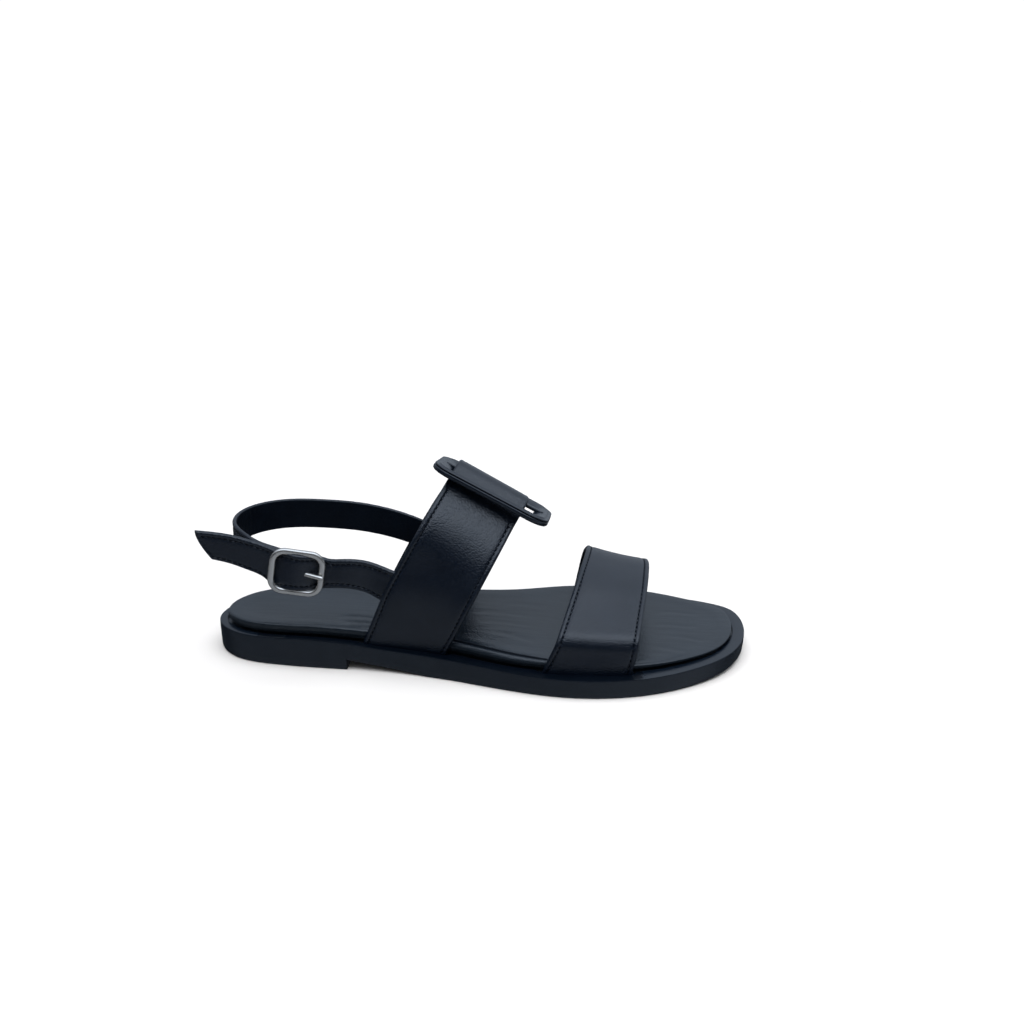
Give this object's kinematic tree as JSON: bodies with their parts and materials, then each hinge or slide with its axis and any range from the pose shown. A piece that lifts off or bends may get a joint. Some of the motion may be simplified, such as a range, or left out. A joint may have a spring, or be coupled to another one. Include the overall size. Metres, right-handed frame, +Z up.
{
  "type": "buckle sandal",
  "caption": "Flat leather sandal for the right foot, with a wide strap over the ball, a wide instep strap through a covered rectangular buckle, and a buckled heel sling.",
  "frame": {"origin": "on the floor plane, inside the flat tread under the forefoot, about the middle of the sole's length and on the heel's centre line", "axes": "+X from heel to toe, +Y towards the inner side of the right foot, +Z up"},
  "size_m": [0.2571, 0.0973, 0.0972],
  "materials": {
    "outsole": "matte moulded rubber",
    "footbed": "smooth matte leather over foam",
    "strap_leather": "semi-matte grained leather",
    "buckle_cover": "smooth semi-matte leather",
    "buckle_metal": "polished"
  },
  "bodies": {
    "root": {"outsole": "outsole", "footbed": "footbed", "vamp_strap": "strap_leather", "instep_strap": "strap_leather", "covered_buckle": "buckle_cover", "sling_buckle_frame": "buckle_metal", "sling_buckle_prong": "buckle_metal"}
  },
  "joints": []
}
